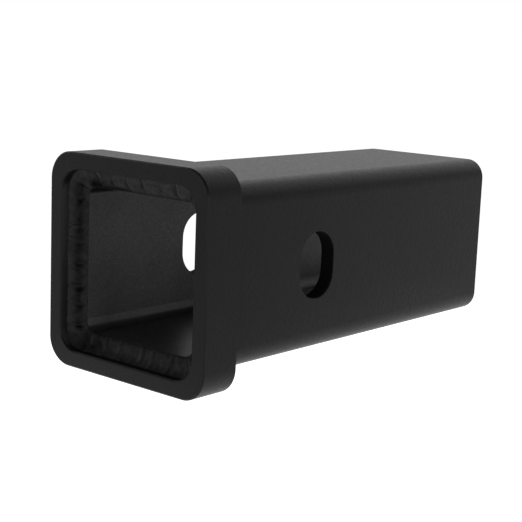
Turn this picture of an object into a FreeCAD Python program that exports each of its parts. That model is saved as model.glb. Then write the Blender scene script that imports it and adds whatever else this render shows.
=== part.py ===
import FreeCAD, Part
import math
import os

from FreeCAD import Placement, Rotation, Vector

# Hitch reducer sleeve: a square tube that lets a smaller shank sit in a larger receiver. A collar
# round its mouth stops it at the receiver's face, and a slot for the hitch pin crosses both side walls.
# The origin is on the tube's centreline, at the pin. +X runs along the tube to the end inside the
# receiver, +Y runs along the pin, and +Z is up. All sizes are in millimetres.

# Square tube
TUBE_SIZE = 63.5
TUBE_WALL = 5.9
TUBE_OUTER_CORNER = 7.5
TUBE_INNER_CORNER = 3.5
INSERT_LENGTH = 157.7  # the part of the tube behind the collar

# Upright pin slot with round ends
SLOT_WIDTH = 18.4
SLOT_RISE = 5.6  # between the centres of the round ends
PIN_FROM_STOP = 48.3  # from the collar's back face to the pin

# Collar, a slice of the next larger tube
COLLAR_WALL = 5.9
COLLAR_LENGTH = 15.9
COLLAR_OUTER_CORNER = 9.8
COLLAR_SLIP = 0.35  # gap between the collar and the tube on each side
MOUTH_DEPTH = 7.0  # how far the tube's mouth lies behind the collar's front face

# Bevel on the cut edges
TUBE_BEVEL = 0.4
COLLAR_BEVEL = 0.5

# Weld bead in the corner between the collar's inner wall and the tube's mouth
WELD_COLLAR_LEG = 4.0  # height of the bead on the collar's wall
WELD_LAND = 0.4  # flat left bare beside the bevel of the tube's mouth
WELD_PITCH = 7.5  # from one puddle to the next, along the collar's wall
WELD_CROWN = 0.7  # how far a puddle's back rises over the straight line between the bead's toes
WELD_STEP = 0.6  # how far a puddle's back falls from one puddle to the next

# Places along X
stop_x = -PIN_FROM_STOP
front_x = stop_x - COLLAR_LENGTH
mouth_x = front_x + MOUTH_DEPTH
end_x = stop_x + INSERT_LENGTH

# Half sizes across the tube and the collar
tube_half = TUBE_SIZE / 2
bore_half = tube_half - TUBE_WALL
seat_half = tube_half + COLLAR_SLIP
seat_corner = TUBE_OUTER_CORNER + COLLAR_SLIP
collar_half = seat_half + COLLAR_WALL

# Half sizes of the slot
slot_radius = SLOT_WIDTH / 2
slot_top = slot_radius + SLOT_RISE / 2

ALONG = Vector(1, 0, 0)
TOUCH = 1e-4  # two places nearer than this are the same place


def rounded_square(half, corner, x):
    """Outline of a square with round corners, lying across the tube at x."""
    flat = half - corner
    slant = flat + corner * math.sqrt(0.5)
    side = Part.LineSegment(Vector(x, half, -flat), Vector(x, half, flat)).toShape()
    bend = Part.Arc(Vector(x, half, flat), Vector(x, slant, slant), Vector(x, flat, half)).toShape()
    edges = []
    for quarter in range(4):
        turn = Placement(Vector(), ALONG, 90 * quarter).toMatrix()
        edges += [side.transformed(turn), bend.transformed(turn)]
    return Part.Wire(edges)


def square_pipe(outer, inner, from_x, to_x):
    """Straight pipe along X between two rounded squares, each given as half size and corner radius."""
    outlines = [rounded_square(*outer, from_x), rounded_square(*inner, from_x)]
    section = Part.makeFace(outlines, "Part::FaceMakerBullseye")
    return section.extrude(ALONG * (to_x - from_x))


def middle(edge):
    return edge.valueAt((edge.FirstParameter + edge.LastParameter) / 2)


def edges_at(shape, x):
    """Edges that lie across the tube at x."""
    return [e for e in shape.Edges if abs(e.BoundBox.XMin - x) < TOUCH and abs(e.BoundBox.XMax - x) < TOUCH]


def is_bore_edge(edge):
    point = middle(edge)
    return max(abs(point.y), abs(point.z)) < bore_half + TOUCH


def is_slot_rim(edge):
    """True for an edge where the slot meets a flat of the tube, inside or outside."""
    point = middle(edge)
    in_slot = abs(point.x) < slot_radius + TOUCH and abs(point.z) < slot_top + TOUCH
    return in_slot and edge.BoundBox.YLength < TOUCH


def slot_cutter():
    """Slot with round ends, through both side walls of the tube."""
    y = -TUBE_SIZE
    left_low = Vector(-slot_radius, y, -SLOT_RISE / 2)
    left_high = Vector(-slot_radius, y, SLOT_RISE / 2)
    right_low = Vector(slot_radius, y, -SLOT_RISE / 2)
    right_high = Vector(slot_radius, y, SLOT_RISE / 2)
    outline = Part.Wire([
        Part.LineSegment(left_low, left_high).toShape(),
        Part.Arc(left_high, Vector(0, y, slot_top), right_high).toShape(),
        Part.LineSegment(right_high, right_low).toShape(),
        Part.Arc(right_low, Vector(0, y, -slot_top), left_low).toShape(),
    ])
    return Part.Face(outline).extrude(Vector(0, 2 * TUBE_SIZE, 0))


def sleeve_tube():
    """Square tube with its cut ends and its slots bevelled at the edges."""
    outer = (tube_half, TUBE_OUTER_CORNER)
    inner = (bore_half, TUBE_INNER_CORNER)
    tube = square_pipe(outer, inner, mouth_x, end_x)
    mouth_edges = [e for e in edges_at(tube, mouth_x) if is_bore_edge(e)]
    tube = tube.makeChamfer(TUBE_BEVEL, mouth_edges + edges_at(tube, end_x))
    tube = tube.cut(slot_cutter())
    return tube.makeChamfer(TUBE_BEVEL, [e for e in tube.Edges if is_slot_rim(e)])


def stop_collar():
    """Square band that slips over the tube, with all four of its rims bevelled."""
    outer = (collar_half, COLLAR_OUTER_CORNER)
    inner = (seat_half, seat_corner)
    collar = square_pipe(outer, inner, front_x, stop_x)
    return collar.makeChamfer(COLLAR_BEVEL, edges_at(collar, front_x) + edges_at(collar, stop_x))


def weld_puddle(tube_leg):
    """One puddle at the origin: X along the bead, Y towards the collar and Z out of the bead's face.

    It is a coin whose back is arched across the bead and falls along it, so that the next one steps up.
    Its outline crosses the next one's at the bead's toes."""
    face_width = math.hypot(tube_leg, WELD_COLLAR_LEG)
    root_depth = tube_leg * WELD_COLLAR_LEG / face_width
    coin_radius = math.hypot(face_width, WELD_PITCH) / 2
    coin = Part.makeCylinder(coin_radius, root_depth + WELD_CROWN + WELD_STEP, Vector(0, 0, -root_depth))
    arch_radius = (face_width ** 2 / 4 + WELD_CROWN ** 2) / (2 * WELD_CROWN)
    crest = Vector(-coin_radius / 2, 0, WELD_CROWN - arch_radius)
    fall = Vector(WELD_PITCH, 0, -WELD_STEP).normalize() * coin_radius
    arch = Part.makeCylinder(arch_radius, 4 * coin_radius, crest - fall * 2, fall)
    return coin.common(arch)


def outward(point, flat):
    """Direction straight out of a rounded square's outline, whose sides are flat to that half size."""
    core = Vector(point.x, min(max(point.y, -flat), flat), min(max(point.z, -flat), flat))
    return (point - core).normalize()


def weld_bead():
    """Ring of overlapping puddles, cut to the corner that they fill."""
    tube_leg = TUBE_WALL + COLLAR_SLIP - TUBE_BEVEL - WELD_LAND
    puddle = weld_puddle(tube_leg)
    root_line = rounded_square(seat_half, seat_corner, mouth_x)
    count = round(root_line.Length / WELD_PITCH)
    to_collar = Vector(-WELD_COLLAR_LEG, 0, 0)
    puddles = []
    for point in root_line.discretize(Number=count + 1)[:-1]:
        out = outward(point, seat_half - seat_corner)
        to_tube = out * -tube_leg
        travel = ALONG.cross(out)
        up_the_face = (to_collar - to_tube).normalize()
        turn = Rotation(travel, up_the_face, travel.cross(up_the_face), "XYZ")
        place = Placement(point + (to_collar + to_tube) / 2, turn)
        puddles.append(puddle.transformed(place.toMatrix()))
    corner_room = Part.Face(root_line).extrude(ALONG * -MOUTH_DEPTH)
    return puddles[0].multiFuse(puddles[1:]).common(corner_room)


def main():
    os.makedirs("parts", exist_ok=True)
    for piece in (sleeve_tube, stop_collar, weld_bead):
        piece().exportStep("parts/" + piece.__name__ + ".step")


main()
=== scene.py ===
import math
import random

import bpy
from mathutils import Matrix, Vector, noise


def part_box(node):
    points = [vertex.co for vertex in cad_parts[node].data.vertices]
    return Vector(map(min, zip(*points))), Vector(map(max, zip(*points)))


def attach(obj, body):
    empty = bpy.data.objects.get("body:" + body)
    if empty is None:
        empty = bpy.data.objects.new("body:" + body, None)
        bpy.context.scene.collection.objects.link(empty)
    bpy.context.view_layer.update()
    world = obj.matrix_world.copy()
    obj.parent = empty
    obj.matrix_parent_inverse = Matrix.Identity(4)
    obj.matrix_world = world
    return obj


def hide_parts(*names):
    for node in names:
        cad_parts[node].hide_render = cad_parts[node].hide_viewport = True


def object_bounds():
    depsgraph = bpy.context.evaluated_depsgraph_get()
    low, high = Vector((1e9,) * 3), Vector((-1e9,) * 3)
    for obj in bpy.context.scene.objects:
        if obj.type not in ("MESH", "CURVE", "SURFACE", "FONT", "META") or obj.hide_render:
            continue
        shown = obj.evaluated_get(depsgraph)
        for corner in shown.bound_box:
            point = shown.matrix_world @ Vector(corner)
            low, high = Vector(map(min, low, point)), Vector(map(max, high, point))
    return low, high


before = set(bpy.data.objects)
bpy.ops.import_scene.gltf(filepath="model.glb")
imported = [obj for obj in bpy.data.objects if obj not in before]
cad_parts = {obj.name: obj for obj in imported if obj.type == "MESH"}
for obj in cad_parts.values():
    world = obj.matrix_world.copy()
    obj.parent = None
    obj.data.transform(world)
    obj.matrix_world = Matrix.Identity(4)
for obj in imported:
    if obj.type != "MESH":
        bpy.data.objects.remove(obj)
cad_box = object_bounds()

MM = 0.001

# Camera at the photograph's viewpoint, in the part's frame
CAMERA_PLACE = Vector((-348.8, -303.8, 81.2)) * MM
CAMERA_HEADING = math.radians(49.44)
CAMERA_DIP = math.radians(10.33)
CAMERA_ROLL = math.radians(2.28)
CAMERA_LENS = 86.98
CAMERA_SENSOR = 36.0
CAMERA_NEAR = 10 * MM

# White floor that glows like a light table, most of all under the sleeve and close beside it. The glow
# falls from the near distance to the far one.
FLOOR_SIZE = 8.0
FLOOR_GREY = 0.2
FLOOR_ROUGHNESS = 0.9
FLOOR_GLOW = 0.93
FLOOR_GLOW_NEAR = 1.35
GLOW_NEAR = 5 * MM
GLOW_FAR = 32 * MM

# Studio round the floor: full white at the horizon, a little less above it and dim at the ceiling.
# A height is the upward part of a direction, 0 when it is level and 1 straight up. Of a pair of heights,
# one tone starts to change at the first and has changed at the second.
HORIZON_END = (0.03, 0.1)
STUDIO_TONE = 0.81
STUDIO_END = (0.20, 0.42)
CEILING_TONE = 0.05

# White backdrop behind the sleeve, which gets brighter high up. Its side is where it ends on the left and
# right, as the part of a direction that goes along its heading.
BACKDROP_HEADING = Vector((0.76, 0.65, 0.0))
BACKDROP_SIDE = (-0.1, 0.5)
BACKDROP_BRIGHT = 2.0
BACKDROP_RISE = (0.25, 0.5)
BACKDROP_END = (0.64, 0.80)

# Low fill light behind the camera, which reaches into the mouth
FILL_PLACE = Vector((-500, -420, 0)) * MM
FILL_WIDTH = 500 * MM
FILL_HEIGHT = 120 * MM
FILL_POWER = 0.8

# Overhead light, which comes a little from the backdrop's side
SUN_STRENGTH = 0.8
SUN_SOFTNESS = math.radians(60)
SUN_LEAN = 0.2

# Tube, slot and collar, as in the part
TUBE_LOW, TUBE_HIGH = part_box("sleeve_tube")
COLLAR_LOW, COLLAR_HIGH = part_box("stop_collar")
TUBE_HALF = TUBE_HIGH.y
TUBE_WALL = 5.9 * MM
TUBE_CORNER = 7.5 * MM
TUBE_BEVEL = 0.4 * MM
BORE_HALF = TUBE_HALF - TUBE_WALL
BORE_CORNER = 3.5 * MM
BORE_SKIN = 0.02 * MM  # a place this near to the bore's face lies on it
MOUTH_X = TUBE_LOW.x
END_X = TUBE_HIGH.x
SLOT_HALF_WIDTH = 9.2 * MM
SLOT_HALF_HEIGHT = 12.0 * MM
SLOT_MARGIN = 0.5 * MM  # takes in the slot's bevels
COLLAR_SLIP = 0.35 * MM
COLLAR_BEVEL = 0.5 * MM
FRONT_X = COLLAR_LOW.x
SEAT_HALF = TUBE_HALF + COLLAR_SLIP
SEAT_CORNER = TUBE_CORNER + COLLAR_SLIP
SEAT_SKIN = 0.05 * MM  # a place this near to the collar's inner face lies on it

# Black powder coat, with the sizes of its clouds, its grain and its orange peel, and how strong each is.
# A tone is the share of the light that the colour gives back.
COAT_GLOSS = 0.1
COAT_ROUGHNESS = 0.40
CLOUD_SIZE = 25 * MM
CLOUD_SWING = 0.08
GRAIN_SIZE = 0.45 * MM
GRAIN_SWING = 0.2
PEEL_SIZE = 1.4 * MM
PEEL_SHINE = 0.03
PEEL_DEPTH = 0.08 * MM
NOISE_RANGE = (0.3, 0.7)  # most of the noise lies between these
TUBE_TONE = 0.0058
COLLAR_TONE = 0.006
# Painted shade on the walls of the slots, which keeps them near black
SLOT_SHADE_TONE = 0.0005
SLOT_ROUGHNESS = 0.95

# Painted light on the collar's inner sides, which makes them greyer than the rest of the coat: its tones
# from the rim to the weld, the places along Z where it starts and ends, and how it grows from low to high,
# and again in the lower corners
INNER_TONES = (0.036, 0.018)
INNER_DEPTH = 4 * MM
INNER_START = (-32 * MM, -29 * MM)
INNER_END = (24 * MM, 28 * MM)
INNER_RISE = (-20 * MM, 20 * MM)
INNER_SHARES = (0.48, 1.05)
INNER_CORNER = (-30 * MM, -24 * MM)
INNER_CORNER_SHARE = 0.5

# Painted light in the bore, which makes it greyer than the outer coat, with a painted highlight in a streak
# low on its sides and painted shade in its lower corners: its tones from the ends to the middle of the
# bore, and the distances from the bore's floor, sides and roof where they change
BORE_ROUGHNESS = 0.34
BORE_LIGHT_DEPTH = 65 * MM
BORE_SIDE_TONES = (0.052, 0.157)
BORE_SIDE_RISE = (6 * MM, 40 * MM)
BORE_SIDE_SHARES = (0.92, 1.05)
BORE_HIGHLIGHT_START = (1.5 * MM, 2.1 * MM)
BORE_HIGHLIGHT_END = (3.7 * MM, 4.7 * MM)
BORE_HIGHLIGHT_SHARE = 1.5
BORE_FLOOR_TONES = (0.034, 0.058)
BORE_FLOOR_END = (1.0 * MM, 1.7 * MM)
BORE_FLOOR_SIDE = (4 * MM, 6 * MM)
BORE_FLOOR_SIDE_SHARE = 0.7
BORE_ROOF_TONE = 0.007
BORE_ROOF_END = (1.9 * MM, 3.2 * MM)

# Weld bead in the corner between the collar's inner wall and the tube's mouth
WELD_ROWS = 1216
WELD_COLUMNS = 24
WELD_SEED = 327
WELD_COLLAR_LEG = 4.0 * MM
WELD_CLIMB = 1.2 * MM  # how much higher it stands on the collar's wall in the lower corners
WELD_SCALLOP = 0.35 * MM  # how far its edge on the collar's wall goes in and out
WELD_SCALLOP_SIZE = 6 * MM
WELD_TUBE_LAND = 0.1 * MM  # left bare beside the bore
WELD_LIP = 0.45 * MM  # how far its edge at the bore turns down behind the tube's mouth
LIP_POWER = 12  # the higher, the nearer to the edge the lip starts
WELD_SINK = 0.12 * MM  # how far its edge at the collar and its root lie inside the steel
SINK_POWER = 8  # the higher, the nearer to the edge it sinks
WELD_SAG = 0.3 * MM  # how far its collar half has sunk and its bore half has swelled
REACH_STEPS = 5  # steps that find the edge of the bore

# Puddles of the weld: how uneven they are, and how their fronts bow and wander along the bead
PUDDLES = 32
PUDDLE_SHIFT = 0.25  # of the distance between two puddles
PUDDLE_RIMS = (0.4, 1.2)
PUDDLE_PITS = (0.5, 1.0)
PUDDLE_BOW = 1.2 * MM
WANDER = 1.0 * MM
WANDER_SIZE = 5 * MM
WHOLE_SHARE = 0.6  # how whole a rim is on average, from 0 to 1
BREAK_SIZE = 2.5 * MM

# Marks of a puddle: the middle and half width of each along the bead, from the puddle's start
RIM_PLACE = (0.5 * MM, 1.1 * MM)
FOOT_PLACE = (-0.6 * MM, 0.9 * MM)
PIT_PLACE = (-0.9 * MM, 2.2 * MM)

# How high and deep the marks are, and the fine mottle that lies over the whole bead
RIM_HEIGHT = 0.4 * MM
RIM_MIDDLE = 0.5  # strength of a rim that leaves the bead's edge in its place
PIT_DEPTH = 0.45 * MM
HOLLOW_DEPTH = 0.5 * MM
MARK_POWER = 0.6  # the lower, the nearer to the bead's edges the marks reach
MOTTLE_SIZE = 1.8 * MM
MOTTLE_DEPTH = 0.12 * MM
MOTTLE_LAYERS = 2
MOTTLE_FADE = 1.0
MOTTLE_STEP = 2.0

# Bands of the bead, each with its middle and half width, from 0 at the collar's wall to 1 at the bore
TROUGH = (0.6, 0.5)
POOL = (0.0, 0.45)

# Coat on the weld. Each mark darkens it by a share as painted shade, and a rim lightens it as a painted
# highlight. Of a pair of shares, the first is for the bead's level runs and the second for its upright
# ones.
WELD_GLOSS = 0.03
WELD_TONE = 0.043
WELD_DARK_ROUGHNESS = 0.85
PIT_DARK = (0.35, 0.85)
FOOT_DARK = (0.5, 0.25)
FOOT_DARK_IN_HOLLOW = 0.5
TROUGH_DARK = (0.0, 0.45)
POOL_DARK = 0.12
POOL_DARK_AT_WALL = 0.2
TOP_DARK = 0.05
MOTTLE_DARK = 0.2
RIM_LIGHT = (0.5, 0.1)
RIM_LOSS_IN_HOLLOW = 0.8


def add_object(name, data):
    added = bpy.data.objects.new(name, data)
    bpy.context.scene.collection.objects.link(added)
    return added


def make_camera():
    data = bpy.data.cameras.new("photo_camera")
    data.lens = CAMERA_LENS
    data.sensor_width = CAMERA_SENSOR
    data.clip_start = CAMERA_NEAR
    camera = add_object("photo_camera", data)
    heading = Matrix.Rotation(-CAMERA_HEADING, 4, "Z")
    dip = Matrix.Rotation(math.pi / 2 - CAMERA_DIP, 4, "X")
    roll = Matrix.Rotation(CAMERA_ROLL, 4, "Z")
    camera.matrix_world = Matrix.Translation(CAMERA_PLACE) @ heading @ dip @ roll
    bpy.context.scene.camera = camera


class Nodes:
    """Short calls that add and join the nodes of one material or world."""

    def __init__(self, tree):
        self.tree = tree

    def put(self, socket, value):
        if isinstance(value, bpy.types.NodeSocket):
            self.tree.links.new(value, socket)
        else:
            socket.default_value = value

    def calc(self, operation, *values):
        node = self.tree.nodes.new("ShaderNodeMath")
        node.operation = operation
        for socket, value in zip(node.inputs, values):
            self.put(socket, value)
        return node.outputs[0]

    def times(self, product, *factors):
        for factor in factors:
            product = self.calc("MULTIPLY", product, factor)
        return product

    def ramp(self, value, start, end, low=0.0, high=1.0):
        """Smooth change from low to high while the value goes from start to end."""
        node = self.tree.nodes.new("ShaderNodeMapRange")
        node.interpolation_type = "SMOOTHSTEP"
        self.put(node.inputs["Value"], value)
        self.put(node.inputs["From Min"], start)
        self.put(node.inputs["From Max"], end)
        self.put(node.inputs["To Min"], low)
        self.put(node.inputs["To Max"], high)
        return node.outputs["Result"]

    def band(self, value, rise, fall):
        """1 between a rise from 0 and a fall to 0, each given as the values where it starts and ends."""
        return self.times(self.ramp(value, *rise), self.ramp(value, *fall, 1.0, 0.0))

    def within(self, value, low, high):
        """How far inside a range the value is, and less than 0 outside it."""
        return self.calc("MINIMUM", self.calc("SUBTRACT", value, low), self.calc("SUBTRACT", high, value))

    def blend(self, first, second, share):
        """First where the share is 0 and second where it is 1."""
        node = self.tree.nodes.new("ShaderNodeMix")
        self.put(node.inputs["Factor"], share)
        self.put(node.inputs["A"], first)
        self.put(node.inputs["B"], second)
        return node.outputs["Result"]

    def dot(self, vector, direction):
        node = self.tree.nodes.new("ShaderNodeVectorMath")
        node.operation = "DOT_PRODUCT"
        self.put(node.inputs[0], vector)
        self.put(node.inputs[1], direction)
        return node.outputs["Value"]

    def split(self, vector):
        node = self.tree.nodes.new("ShaderNodeSeparateXYZ")
        self.put(node.inputs[0], vector)
        return node.outputs

    def place(self, kind):
        return self.tree.nodes.new("ShaderNodeTexCoord").outputs[kind]

    def grain(self, place, size, detail):
        """Noise from 0 to 1 whose lumps are about as large as the size."""
        node = self.tree.nodes.new("ShaderNodeTexNoise")
        self.put(node.inputs["Vector"], place)
        self.put(node.inputs["Scale"], 1 / size)
        self.put(node.inputs["Detail"], detail)
        return node.outputs["Fac"]

    def vary(self, grain, middle, swing):
        """The middle value, less or more by the swing as the grain goes."""
        return self.ramp(grain, *NOISE_RANGE, middle - swing, middle + swing)

    def bump(self, height, depth):
        node = self.tree.nodes.new("ShaderNodeBump")
        self.put(node.inputs["Height"], height)
        self.put(node.inputs["Distance"], depth)
        return node.outputs["Normal"]

    def value_on_mesh(self, name):
        node = self.tree.nodes.new("ShaderNodeAttribute")
        node.attribute_name = name
        return node.outputs["Fac"]

    def grey(self, value):
        node = self.tree.nodes.new("ShaderNodeCombineColor")
        for channel in node.inputs[:3]:
            self.put(channel, value)
        return node.outputs["Color"]


def new_material(name, gloss):
    """Material with a gloss that is the same all over, with its shader and the nodes to finish it."""
    material = bpy.data.materials.new(name)
    material.use_nodes = True
    shader = material.node_tree.nodes["Principled BSDF"]
    shader.inputs["Specular IOR Level"].default_value = gloss
    return material, shader, Nodes(material.node_tree)


def floor_material():
    """Dull grey that glows white, most of all under the sleeve and close beside it."""
    material, shader, nodes = new_material("pale_floor", gloss=0.0)
    shader.inputs["Base Color"].default_value = (FLOOR_GREY, FLOOR_GREY, FLOOR_GREY, 1)
    shader.inputs["Roughness"].default_value = FLOOR_ROUGHNESS
    shader.inputs["Emission Color"].default_value = (1, 1, 1, 1)
    axes = nodes.split(nodes.place("Object"))
    low, high = cad_box
    under_x = nodes.within(axes["X"], low.x, high.x)
    under_y = nodes.within(axes["Y"], low.y, high.y)
    under = nodes.calc("MINIMUM", under_x, under_y)
    glow = nodes.ramp(under, -GLOW_FAR, -GLOW_NEAR, FLOOR_GLOW, FLOOR_GLOW_NEAR)
    nodes.put(shader.inputs["Emission Strength"], glow)
    return material


def make_floor():
    """Flat floor under the two edges that the sleeve rests on: the collar's back and the tube's far end."""
    heel = Vector((COLLAR_HIGH.x, 0, COLLAR_LOW.z))
    toe = Vector((TUBE_HIGH.x, 0, TUBE_LOW.z))
    along = (toe - heel).normalized() * FLOOR_SIZE / 2
    across = Vector((0, FLOOR_SIZE / 2, 0))
    corners = [heel - along - across, heel + along - across, heel + along + across, heel - along + across]
    mesh = bpy.data.meshes.new("floor")
    mesh.from_pydata(corners, [], [(0, 1, 2, 3)])
    mesh.materials.append(floor_material())
    floor = add_object("floor", mesh)


def make_world():
    """White low down all round and high up behind the sleeve, and dim overhead and high up in front."""
    world = bpy.data.worlds.new("studio")
    world.use_nodes = True
    nodes = Nodes(world.node_tree)
    direction = nodes.place("Generated")
    height = nodes.split(direction)["Z"]
    studio = nodes.ramp(height, *STUDIO_END, 1.0, CEILING_TONE)
    behind = nodes.ramp(nodes.dot(direction, BACKDROP_HEADING), *BACKDROP_SIDE)
    bright = nodes.ramp(height, *BACKDROP_RISE, 1.0, BACKDROP_BRIGHT)
    backdrop = nodes.times(behind, bright, nodes.ramp(height, *BACKDROP_END, 1.0, 0.0))
    horizon = nodes.ramp(height, *HORIZON_END, 1.0, STUDIO_TONE)
    tone = nodes.times(nodes.calc("MAXIMUM", studio, backdrop), horizon)
    nodes.put(world.node_tree.nodes["Background"].inputs["Color"], nodes.grey(tone))
    bpy.context.scene.world = world


def turn_to(direction):
    """Turn of a lamp that shines in the direction."""
    return direction.to_track_quat("-Z", "Y").to_euler()


def make_fill_light():
    light = bpy.data.lights.new("fill", "AREA")
    light.shape = "RECTANGLE"
    light.size = FILL_WIDTH
    light.size_y = FILL_HEIGHT
    light.energy = FILL_POWER
    lamp = add_object("fill", light)
    lamp.location = FILL_PLACE
    lamp.rotation_euler = turn_to(-FILL_PLACE)
    lamp.visible_camera = False


def make_overhead_light():
    light = bpy.data.lights.new("overhead", "SUN")
    light.energy = SUN_STRENGTH
    light.angle = SUN_SOFTNESS
    lamp = add_object("overhead", light)
    lamp.rotation_euler = turn_to(Vector((0, 0, -1)) - BACKDROP_HEADING * SUN_LEAN)


def coat_finish(nodes, shader, place, tone, roughness):
    """Clouds, powder grain and orange peel over a tone and a roughness, which may be linked."""
    cloud = nodes.vary(nodes.grain(place, CLOUD_SIZE, detail=3), 1.0, CLOUD_SWING)
    grain = nodes.vary(nodes.grain(place, GRAIN_SIZE, detail=2), 1.0, GRAIN_SWING)
    nodes.put(shader.inputs["Base Color"], nodes.grey(nodes.times(tone, cloud, grain)))
    peel = nodes.grain(place, PEEL_SIZE, detail=2)
    shine = nodes.vary(peel, 0.0, PEEL_SHINE)
    nodes.put(shader.inputs["Roughness"], nodes.calc("ADD", roughness, shine))
    nodes.put(shader.inputs["Normal"], nodes.bump(peel, PEEL_DEPTH))


def collar_material():
    """Black, with painted light on the inner sides in front of the weld."""
    material, shader, nodes = new_material("collar_coat", COAT_GLOSS)
    place = nodes.place("Object")
    axes = nodes.split(place)
    y, z = [nodes.calc("ABSOLUTE", axes[axis]) for axis in "YZ"]
    inner = nodes.times(nodes.calc("LESS_THAN", nodes.calc("MAXIMUM", y, z), SEAT_HALF + SEAT_SKIN),
                        nodes.calc("GREATER_THAN", axes["X"], FRONT_X + COLLAR_BEVEL + SEAT_SKIN),
                        nodes.band(axes["Z"], INNER_START, INNER_END))
    # Painted light, stronger high up and again in the lower corners
    share = nodes.calc("ADD", nodes.ramp(axes["Z"], *INNER_RISE, *INNER_SHARES),
                       nodes.ramp(axes["Z"], *INNER_CORNER, INNER_CORNER_SHARE, 0.0))
    inner_painted_light = nodes.times(nodes.ramp(axes["X"], FRONT_X, FRONT_X + INNER_DEPTH, *INNER_TONES), share)
    coat_finish(nodes, shader, place, nodes.blend(COLLAR_TONE, inner_painted_light, inner), COAT_ROUGHNESS)
    return material


def bore_painted_light(nodes, axes, from_ends):
    """Painted light in the bore, lighter towards its middle and high up and less on its floor, with a
    painted highlight in a streak low on its sides, painted shade in its lower corners, and dark at its
    roof.

    The places across the bore are measured from its floor, roof and sides."""
    height = nodes.calc("ADD", axes["Z"], BORE_HALF)
    from_roof = nodes.calc("SUBTRACT", BORE_HALF, axes["Z"])
    from_side = nodes.calc("SUBTRACT", BORE_HALF, nodes.calc("ABSOLUTE", axes["Y"]))
    highlight = nodes.band(height, BORE_HIGHLIGHT_START, BORE_HIGHLIGHT_END)
    side = nodes.times(nodes.ramp(from_ends, 0.0, BORE_LIGHT_DEPTH, *BORE_SIDE_TONES),
                       nodes.ramp(height, *BORE_SIDE_RISE, *BORE_SIDE_SHARES),
                       nodes.ramp(highlight, 0.0, 1.0, 1.0, BORE_HIGHLIGHT_SHARE))
    floor = nodes.times(nodes.ramp(from_ends, 0.0, BORE_LIGHT_DEPTH / 2, *BORE_FLOOR_TONES),
                        nodes.ramp(from_side, *BORE_FLOOR_SIDE, BORE_FLOOR_SIDE_SHARE, 1.0))
    wall = nodes.blend(BORE_ROOF_TONE, side, nodes.ramp(from_roof, *BORE_ROOF_END))
    return nodes.blend(floor, wall, nodes.ramp(height, *BORE_FLOOR_END))


def tube_material():
    """Black outside, greyer in the bore with painted light, and darkest in the slots with painted shade."""
    material, shader, nodes = new_material("tube_coat", COAT_GLOSS)
    place = nodes.place("Object")
    axes = nodes.split(place)
    x, y, z = [nodes.calc("ABSOLUTE", axes[axis]) for axis in "XYZ"]
    from_ends = nodes.within(axes["X"], MOUTH_X, END_X)
    bore = nodes.times(nodes.calc("LESS_THAN", nodes.calc("MAXIMUM", y, z), BORE_HALF + BORE_SKIN),
                       nodes.calc("GREATER_THAN", from_ends, TUBE_BEVEL))
    # The walls of the slots, which get painted shade
    into_wall = nodes.within(y, BORE_HALF + BORE_SKIN, TUBE_HALF - TUBE_BEVEL / 2)
    slot = nodes.times(nodes.calc("GREATER_THAN", into_wall, 0.0),
                       nodes.calc("LESS_THAN", x, SLOT_HALF_WIDTH + SLOT_MARGIN),
                       nodes.calc("LESS_THAN", z, SLOT_HALF_HEIGHT + SLOT_MARGIN))
    tone = nodes.blend(nodes.blend(TUBE_TONE, SLOT_SHADE_TONE, slot), bore_painted_light(nodes, axes, from_ends), bore)
    roughness = nodes.blend(nodes.blend(COAT_ROUGHNESS, SLOT_ROUGHNESS, slot), BORE_ROUGHNESS, bore)
    coat_finish(nodes, shader, place, tone, roughness)
    return material


def weld_material():
    """Dull coat, with painted highlights on the rims of the puddles and painted shade in the pits between
    them.
    """
    material, shader, nodes = new_material("weld_coat", WELD_GLOSS)
    # Painted shade and painted highlights that the bead's mesh carries
    dark = nodes.value_on_mesh("dark")
    tone = nodes.ramp(dark, -1.0, 1.0, WELD_TONE, 0.0)
    roughness = nodes.ramp(dark, 0.0, 1.0, COAT_ROUGHNESS, WELD_DARK_ROUGHNESS)
    coat_finish(nodes, shader, nodes.place("Object"), tone, roughness)
    return material


def dress(node, material):
    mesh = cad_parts[node].data
    mesh.materials.clear()
    mesh.materials.append(material)


def hump(value, middle, half_width):
    """1 at the middle, falling smoothly to 0 at the half width on each side."""
    rest = max(0.0, 1 - abs(value - middle) / half_width)
    return rest * rest * (3 - 2 * rest)


def between(pair, share):
    """The first of a pair where the share is 0 and the second where it is 1."""
    first, second = pair
    return first + (second - first) * share


def seat_line(distance):
    """Place and outward direction on the collar's inner wall, at a distance along it round the mouth."""
    flat = SEAT_HALF - SEAT_CORNER
    quarter, rest = divmod(distance, 2 * flat + SEAT_CORNER * math.pi / 2)
    turn = Matrix.Rotation(quarter * math.pi / 2, 3, "X")
    if rest < 2 * flat:
        return turn @ Vector((MOUTH_X, SEAT_HALF, rest - flat)), turn @ Vector((0, 1, 0))
    angle = (rest - 2 * flat) / SEAT_CORNER
    out = Vector((0, math.cos(angle), math.sin(angle)))
    return turn @ (Vector((MOUTH_X, flat, flat)) + out * SEAT_CORNER), turn @ out


def reach_to_bore(root, out):
    """Distance from the collar's wall straight in to the edge of the bore."""
    flat = BORE_HALF - BORE_CORNER
    reach = 0.0
    for _ in range(REACH_STEPS):
        point = root - out * reach
        reach += math.hypot(max(abs(point.y) - flat, 0), max(abs(point.z) - flat, 0)) - BORE_CORNER
    return reach


class Puddle:
    """One puddle of the weld, with its own start along the bead and its own rim and pit."""

    def __init__(self, dice, start):
        self.start = start
        self.rim = dice.uniform(*PUDDLE_RIMS)
        self.pit = dice.uniform(*PUDDLE_PITS)


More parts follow.
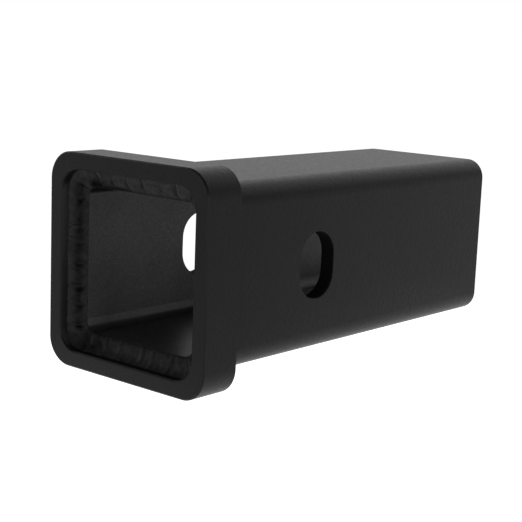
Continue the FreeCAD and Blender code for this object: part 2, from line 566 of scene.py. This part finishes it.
class Bead:
    """Line of puddles that runs once round the mouth."""

    def __init__(self):
        self.length = 4 * (2 * (SEAT_HALF - SEAT_CORNER) + SEAT_CORNER * math.pi / 2)
        pitch = self.length / PUDDLES
        dice = random.Random(WELD_SEED)
        starts = [(k + dice.uniform(-PUDDLE_SHIFT, PUDDLE_SHIFT)) * pitch for k in range(PUDDLES)]
        self.puddles = [Puddle(dice, start) for start in starts]

    def nearest_puddle(self, distance):
        """The puddle whose start is nearest, and how far past its start the distance is."""
        half = self.length / 2
        pasts = [(distance - puddle.start + half) % self.length - half for puddle in self.puddles]
        return min(zip(self.puddles, pasts), key=lambda pair: abs(pair[1]))


class Hollow:
    """Dull hollow in the bead with painted shade in it, with its middle and half size along it and across
    it.
    """

    def __init__(self, along, reach, across, width, dark):
        self.along = along
        self.reach = reach
        self.across = across
        self.width = width
        self.dark = dark

    def depth(self, distance, across):
        return self.dark * hump(distance, self.along, self.reach) * hump(across, self.across, self.width)


# Where two runs of the weld meet, at two of its corners, and an undercut beside the first of them
HOLLOWS = (
    Hollow(along=64.5 * MM, reach=9 * MM, across=0.85, width=0.55, dark=0.7),
    Hollow(along=73 * MM, reach=16 * MM, across=1.0, width=0.35, dark=0.8),
    Hollow(along=228 * MM, reach=20 * MM, across=0.4, width=0.9, dark=0.5),
)


class Spot:
    """Spot on the bead's skin, across it from 0 at the collar's wall to 1 at the bore, and its marks."""

    def __init__(self, bead, distance, across):
        self.across = across
        self.root, self.out = seat_line(distance)
        self.tube_leg = reach_to_bore(self.root, self.out) - WELD_TUBE_LAND
        self.inner = 4 * across * (1 - across)  # 0 at the bead's edges and 1 half-way between them
        self.corner = 4 * self.out.y ** 2 * self.out.z ** 2  # 1 in the middle of the mouth's corners
        self.upright = self.out.y ** 4  # 1 on the mouth's upright sides
        self.low = max(0.0, -self.out.z)
        self.high = max(0.0, self.out.z)
        self.read_marks(bead, distance)

    def read_marks(self, bead, distance):
        """How strong each mark of the weld is here."""
        plain = self.root - self.out * self.tube_leg * self.across
        plain -= Vector((WELD_COLLAR_LEG * (1 - self.across), 0, 0))
        bend = PUDDLE_BOW * self.inner + WANDER * noise.noise(plain / WANDER_SIZE)
        puddle, past = bead.nearest_puddle(distance + bend)
        whole = min(max(WHOLE_SHARE + noise.noise(plain / BREAK_SIZE), 0.0), 1.0) * (1 - self.corner)
        self.rim = puddle.rim * whole * hump(past, *RIM_PLACE)
        self.foot = puddle.pit * whole * hump(past, *FOOT_PLACE)
        self.pit = puddle.pit * hump(past, *PIT_PLACE) * hump(self.across, *TROUGH)
        self.hollow = max(hollow.depth(distance, self.across) for hollow in HOLLOWS)
        self.mottle = noise.fractal(plain / MOTTLE_SIZE, MOTTLE_FADE, MOTTLE_STEP, MOTTLE_LAYERS)

    def height(self):
        """How far the skin stands out from the straight line between the bead's edges."""
        marks = RIM_HEIGHT * self.rim - PIT_DEPTH * self.pit + MOTTLE_DEPTH * self.mottle
        sag = WELD_SAG * math.sin(2 * math.pi * self.across)
        return marks * self.inner ** MARK_POWER - sag - HOLLOW_DEPTH * self.hollow * self.inner

    def point(self):
        scallop = WELD_SCALLOP * (self.rim - RIM_MIDDLE + noise.noise(self.root / WELD_SCALLOP_SIZE))
        collar_leg = WELD_COLLAR_LEG + scallop + WELD_CLIMB * self.corner * self.low
        face = Vector((self.tube_leg, collar_leg)).normalized() * self.height()
        off_tube = collar_leg * (1 - self.across) - WELD_LIP * self.across ** LIP_POWER + face.x
        off_collar = self.tube_leg * self.across - WELD_SINK * (1 - self.across) ** SINK_POWER + face.y
        return self.root - Vector((off_tube, 0, 0)) - self.out * off_collar

    def dark(self):
        """How dark the coat is, from -1 on a rim to 1 in a pit: painted shade in the marks, a painted
        highlight on the rims.
        """
        # Painted shade in the pits, at the feet of the puddles and in the troughs of the upright runs
        pit = between(PIT_DARK, self.upright) * self.pit
        foot = (between(FOOT_DARK, self.upright) + FOOT_DARK_IN_HOLLOW * self.hollow) * self.foot
        trough = between(TROUGH_DARK, self.upright) * hump(self.across, *TROUGH)
        # Painted shadow of the collar's lower wall over the low runs, deepest beside the wall
        pool = self.low * (POOL_DARK + POOL_DARK_AT_WALL * hump(self.across, *POOL))
        dark = max(pit, foot, trough, pool, self.hollow) + TOP_DARK * self.high + MOTTLE_DARK * self.mottle
        # Painted highlight on the rims, weaker in the hollows
        dark -= between(RIM_LIGHT, self.upright) * (1 - RIM_LOSS_IN_HOLLOW * self.hollow) * self.rim
        return min(max(dark, -1.0), 1.0)


def weld_root(distance):
    """Point in the steel behind the bead, which closes its ring."""
    root, out = seat_line(distance)
    return root + Vector((WELD_SINK, 0, 0)) + out * WELD_SINK


def ring_faces(rows, columns):
    """Faces of a closed ring whose points come row by row."""
    faces = []
    for row in range(rows):
        here = row * columns
        there = (row + 1) % rows * columns
        for column in range(columns):
            side = (column + 1) % columns
            faces.append((here + column, here + side, there + side, there + column))
    return faces


def make_weld():
    """Ring of overlapping puddles laid by hand, in place of the even ones."""
    bead = Bead()
    points = []
    darks = []
    for row in range(WELD_ROWS):
        distance = bead.length * row / WELD_ROWS
        spots = [Spot(bead, distance, column / WELD_COLUMNS) for column in range(WELD_COLUMNS + 1)]
        points += [spot.point() for spot in spots] + [weld_root(distance)]
        darks += [spot.dark() for spot in spots] + [1.0]
    mesh = bpy.data.meshes.new("weld_ripples")
    mesh.from_pydata(points, [], ring_faces(WELD_ROWS, WELD_COLUMNS + 2))
    mesh.attributes.new("dark", "FLOAT", "POINT").data.foreach_set("value", darks)
    mesh.shade_smooth()
    mesh.materials.append(weld_material())
    weld = add_object("weld_ripples", mesh)
    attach(weld, "root")
    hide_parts("weld_bead")


bpy.context.scene.view_settings.view_transform = "Standard"
make_camera()
make_floor()
make_world()
make_fill_light()
make_overhead_light()
dress("sleeve_tube", tube_material())
dress("stop_collar", collar_material())
make_weld()
